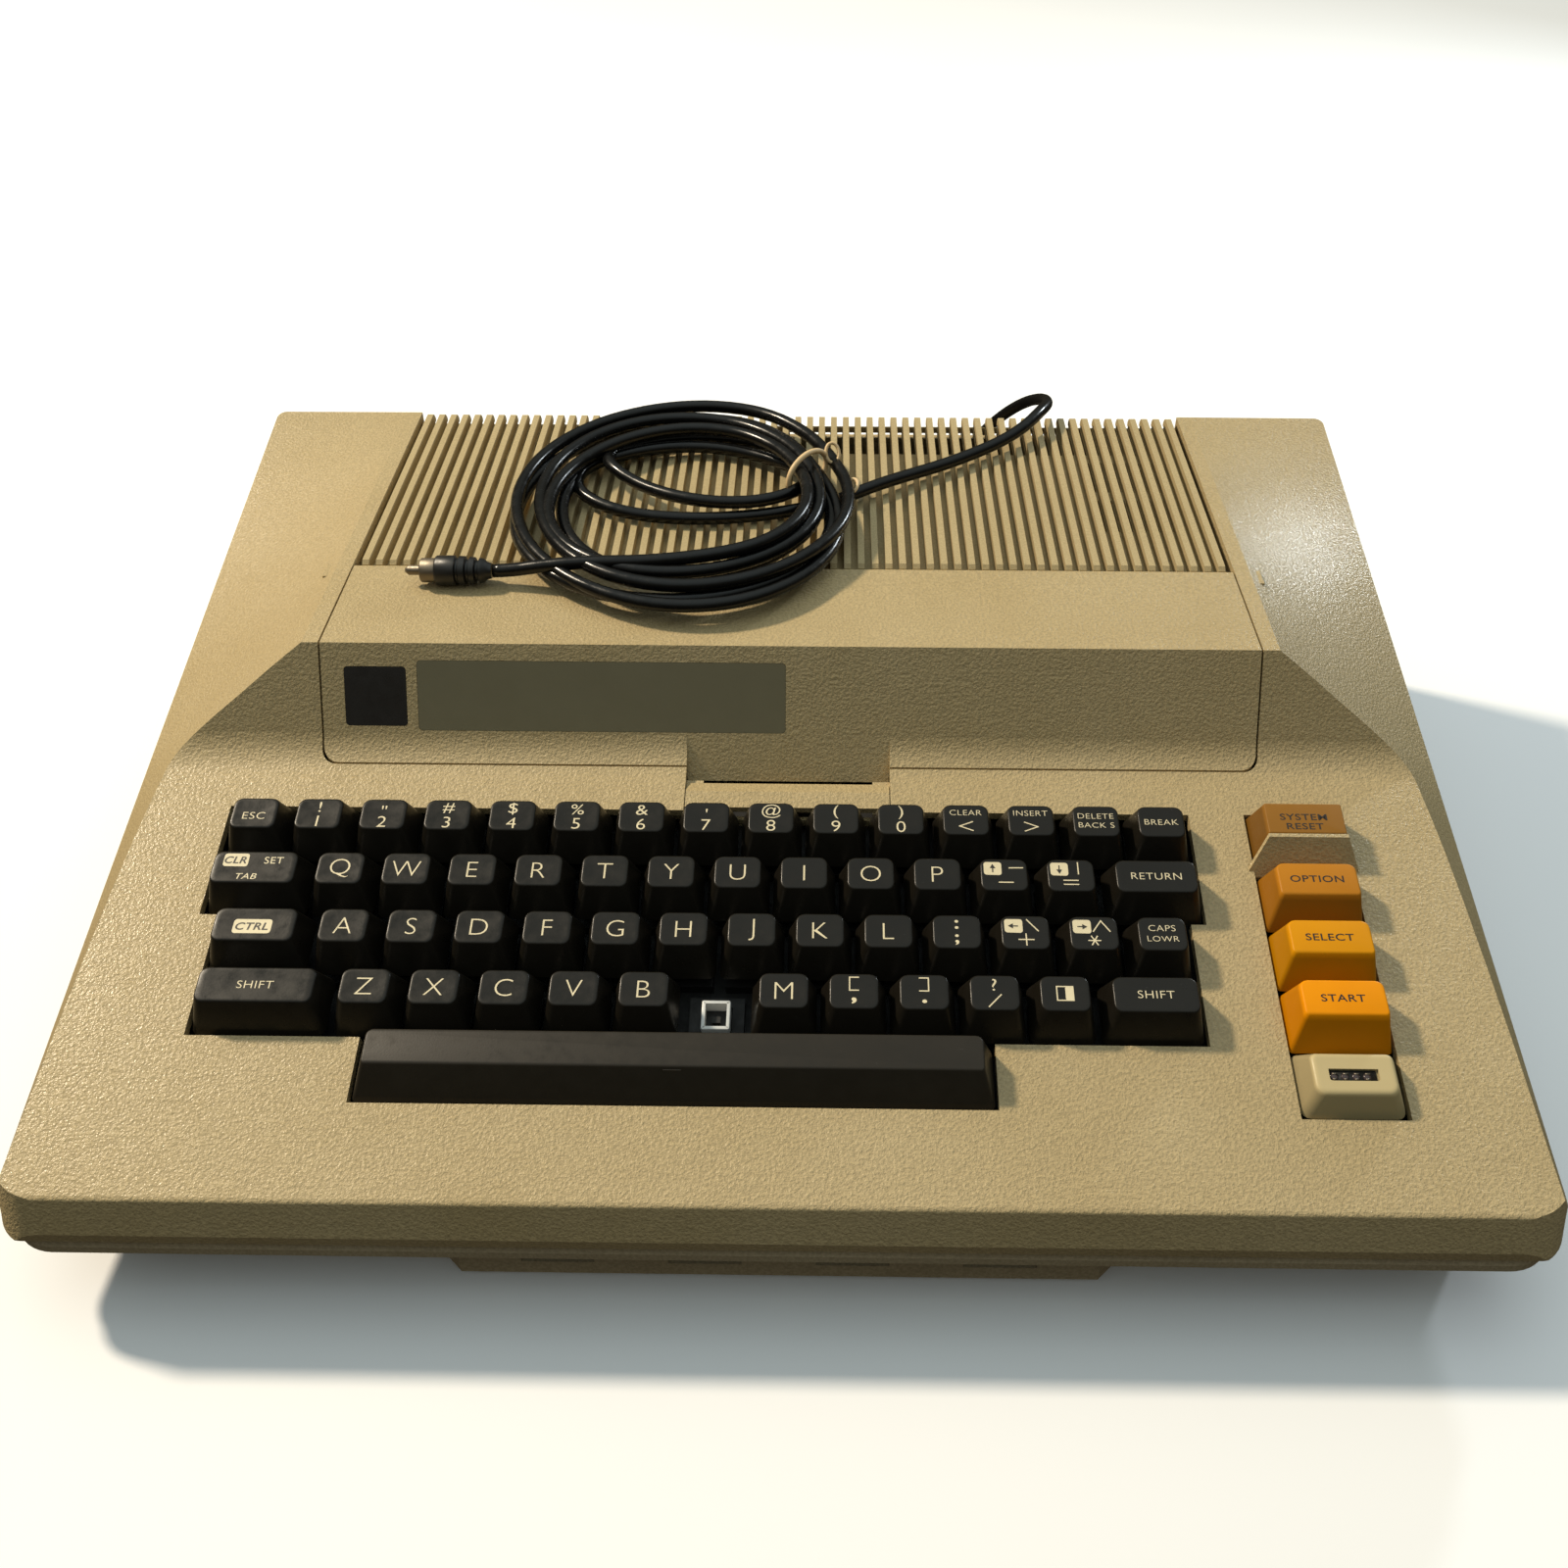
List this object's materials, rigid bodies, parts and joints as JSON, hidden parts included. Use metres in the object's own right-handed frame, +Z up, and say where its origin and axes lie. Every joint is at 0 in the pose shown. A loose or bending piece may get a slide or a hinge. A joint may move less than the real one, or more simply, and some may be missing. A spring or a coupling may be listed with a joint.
{
  "type": "home computer",
  "caption": "Vintage home computer: beige two-part case, full keyboard, console keys, hinged cartridge door, finned vent cover and a coiled antenna cable with plug.",
  "frame": {"origin": "on the surface it stands on, under the middle of the case", "axes": "+X to the user's right along the keyboard, +Y to the rear, +Z up"},
  "size_m": [0.411, 0.3577, 0.1314],
  "materials": {
    "beige_case": "fine pebbled",
    "case_grey": "fine pebbled",
    "door_beige": "fine pebbled",
    "rubber_black": "matte",
    "steel": "satin",
    "bare_metal_plate": "satin",
    "key_brown": "satin",
    "key_orange": "satin",
    "key_amber": "satin",
    "cap_cream": "satin",
    "switch_black": "satin",
    "board_green": "satin",
    "cast_shield": "cast",
    "cable_black": "glossy",
    "plug_metal": "satin",
    "speaker_paper": "matte"
  },
  "bodies": {
    "case": {"top_case": "beige_case", "bottom_case": "case_grey", "feet": "rubber_black", "case_screws": "steel", "door_hinge_pins": "steel", "latch_spring": "steel", "vent_cover": "beige_case", "keyboard_plate": "steel", "keyboard_circuit_board": "board_green", "key_switch_housings": "switch_black", "power_light_cap": "cap_cream", "console_switch_board": "board_green", "shield_lower": "cast_shield", "shield_upper": "cast_shield", "mainboard": "board_green", "cartridge_sockets": "switch_black", "cartridge_bay": "case_grey", "cartridge_guides": "case_grey", "vent_cover_lugs": "case_grey", "memory_modules": "case_grey", "processor_board": "board_green", "power_board": "board_green", "side_jacks": "switch_black", "power_switch_frame": "switch_black", "controller_jacks": "switch_black", "speaker": "speaker_paper", "rf_strain_relief": "cable_black", "rf_cable_rear_run": "cable_black", "rf_cable_coil": "cable_black"},
    "door": {"cartridge_door": "door_beige", "square_plate": "bare_metal_plate", "long_plate": "bare_metal_plate", "rf_cable_plug_run": "cable_black", "rf_plug": "plug_metal"},
    "latch": {"door_latch": "door_beige"},
    "interlock": {"interlock_button": "switch_black"},
    "vent_latch_left": {"vent_latch_left": "switch_black"},
    "vent_latch_right": {"vent_latch_right": "switch_black"},
    "power_switch": {"power_switch": "switch_black"},
    "channel_switch": {"channel_switch": "switch_black"},
    "bare_plunger": {"bare_key_plunger": "switch_black"},
    "space_bar": {"space_bar": "key_brown"},
    "escape_key": {"escape_key": "key_brown"},
    "break_key": {"break_key": "key_brown"},
    "delete_key": {"delete_key": "key_brown"},
    "tab_key": {"tab_key": "key_brown"},
    "return_key": {"return_key": "key_brown"},
    "control_key": {"control_key": "key_brown"},
    "caps_key": {"caps_key": "key_brown"},
    "shift_key_left": {"shift_key_left": "key_brown"},
    "shift_key_right": {"shift_key_right": "key_brown"},
    "symbol_key": {"symbol_key": "key_brown"},
    "number_keys": {"number_keys": "key_brown"},
    "upper_letter_keys": {"upper_letter_keys": "key_brown"},
    "home_letter_keys": {"home_letter_keys": "key_brown"},
    "lower_letter_keys": {"lower_letter_keys": "key_brown"},
    "reset_key": {"reset_key": "key_amber"},
    "option_key": {"option_key": "key_orange"},
    "select_key": {"select_key": "key_orange"},
    "start_key": {"start_key": "key_orange"}
  },
  "joints": [
    {"name": "door_hinge", "type": "hinge", "parent": "case", "child": "door", "pos_m": [0, 0.0422, 0.10948], "axis": [-1, 0, 0], "range_deg": [0, 95], "deforming": ["rf_cable_coil"]},
    {"name": "latch_slide", "type": "slide", "parent": "case", "child": "latch", "axis": [0, -0.968, -0.2511], "range_m": [0, 0.0018], "stiffness_N_per_m": 500, "springref_m": -0.001, "deforming": ["latch_spring"]},
    {"name": "interlock_slide", "type": "slide", "parent": "case", "child": "interlock", "axis": [0, 0, 1], "range_m": [0, 0.002]},
    {"name": "vent_latch_left_turn", "type": "hinge", "parent": "case", "child": "vent_latch_left", "pos_m": [-0.125, 0.032, 0.098], "axis": [0, 0, 1], "range_deg": [0, 90]},
    {"name": "vent_latch_right_turn", "type": "hinge", "parent": "case", "child": "vent_latch_right", "pos_m": [0.125, 0.032, 0.098], "axis": [0, 0, 1], "range_deg": [0, 90]},
    {"name": "escape_key_press", "type": "slide", "parent": "case", "child": "escape_key", "axis": [0, 0.2511, -0.968], "range_m": [0, 0.004], "stiffness_N_per_m": 150, "springref_m": -0.003},
    {"name": "break_key_press", "type": "slide", "parent": "case", "child": "break_key", "axis": [0, 0.2511, -0.968], "range_m": [0, 0.004], "stiffness_N_per_m": 150, "springref_m": -0.003},
    {"name": "delete_key_press", "type": "slide", "parent": "case", "child": "delete_key", "axis": [0, 0.2511, -0.968], "range_m": [0, 0.004], "stiffness_N_per_m": 150, "springref_m": -0.003},
    {"name": "tab_key_press", "type": "slide", "parent": "case", "child": "tab_key", "axis": [0, 0.2511, -0.968], "range_m": [0, 0.004], "stiffness_N_per_m": 150, "springref_m": -0.003},
    {"name": "return_key_press", "type": "slide", "parent": "case", "child": "return_key", "axis": [0, 0.2511, -0.968], "range_m": [0, 0.004], "stiffness_N_per_m": 150, "springref_m": -0.003},
    {"name": "control_key_press", "type": "slide", "parent": "case", "child": "control_key", "axis": [0, 0.2511, -0.968], "range_m": [0, 0.004], "stiffness_N_per_m": 150, "springref_m": -0.003},
    {"name": "caps_key_press", "type": "slide", "parent": "case", "child": "caps_key", "axis": [0, 0.2511, -0.968], "range_m": [0, 0.004], "stiffness_N_per_m": 150, "springref_m": -0.003},
    {"name": "shift_key_left_press", "type": "slide", "parent": "case", "child": "shift_key_left", "axis": [0, 0.2511, -0.968], "range_m": [0, 0.004], "stiffness_N_per_m": 150, "springref_m": -0.003},
    {"name": "shift_key_right_press", "type": "slide", "parent": "case", "child": "shift_key_right", "axis": [0, 0.2511, -0.968], "range_m": [0, 0.004], "stiffness_N_per_m": 150, "springref_m": -0.003},
    {"name": "symbol_key_press", "type": "slide", "parent": "case", "child": "symbol_key", "axis": [0, 0.2511, -0.968], "range_m": [0, 0.004], "stiffness_N_per_m": 150, "springref_m": -0.003},
    {"name": "bare_plunger_press", "type": "slide", "parent": "case", "child": "bare_plunger", "axis": [0, 0.2511, -0.968], "range_m": [0, 0.004], "stiffness_N_per_m": 150, "springref_m": -0.003},
    {"name": "number_keys_press", "type": "slide", "parent": "case", "child": "number_keys", "axis": [0, 0.2511, -0.968], "range_m": [0, 0.004], "stiffness_N_per_m": 1500, "springref_m": -0.003},
    {"name": "upper_letter_keys_press", "type": "slide", "parent": "case", "child": "upper_letter_keys", "axis": [0, 0.2511, -0.968], "range_m": [0, 0.004], "stiffness_N_per_m": 1500, "springref_m": -0.003},
    {"name": "home_letter_keys_press", "type": "slide", "parent": "case", "child": "home_letter_keys", "axis": [0, 0.2511, -0.968], "range_m": [0, 0.004], "stiffness_N_per_m": 1500, "springref_m": -0.003},
    {"name": "lower_letter_keys_press", "type": "slide", "parent": "case", "child": "lower_letter_keys", "axis": [0, 0.2511, -0.968], "range_m": [0, 0.004], "stiffness_N_per_m": 1500, "springref_m": -0.003},
    {"name": "space_bar_press", "type": "slide", "parent": "case", "child": "space_bar", "axis": [0, 0.2511, -0.968], "range_m": [0, 0.004], "stiffness_N_per_m": 300, "springref_m": -0.003},
    {"name": "reset_key_press", "type": "slide", "parent": "case", "child": "reset_key", "axis": [0, 0.2511, -0.968], "range_m": [0, 0.003], "stiffness_N_per_m": 200, "springref_m": -0.003},
    {"name": "option_key_press", "type": "slide", "parent": "case", "child": "option_key", "axis": [0, 0.2511, -0.968], "range_m": [0, 0.003], "stiffness_N_per_m": 200, "springref_m": -0.003},
    {"name": "select_key_press", "type": "slide", "parent": "case", "child": "select_key", "axis": [0, 0.2511, -0.968], "range_m": [0, 0.003], "stiffness_N_per_m": 200, "springref_m": -0.003},
    {"name": "start_key_press", "type": "slide", "parent": "case", "child": "start_key", "axis": [0, 0.2511, -0.968], "range_m": [0, 0.003], "stiffness_N_per_m": 200, "springref_m": -0.003},
    {"name": "power_rocker", "type": "hinge", "parent": "case", "child": "power_switch", "pos_m": [0.189, 0.033, 0.015], "axis": [0, 0, 1], "range_deg": [-16, 0]},
    {"name": "channel_slide", "type": "slide", "parent": "case", "child": "channel_switch", "axis": [0, 1, 0], "range_m": [0, 0.004]}
  ],
  "couplings": [
    {"joint": "interlock_slide", "follows": "door_hinge", "m_per_rad": 0.00115}
  ]
}
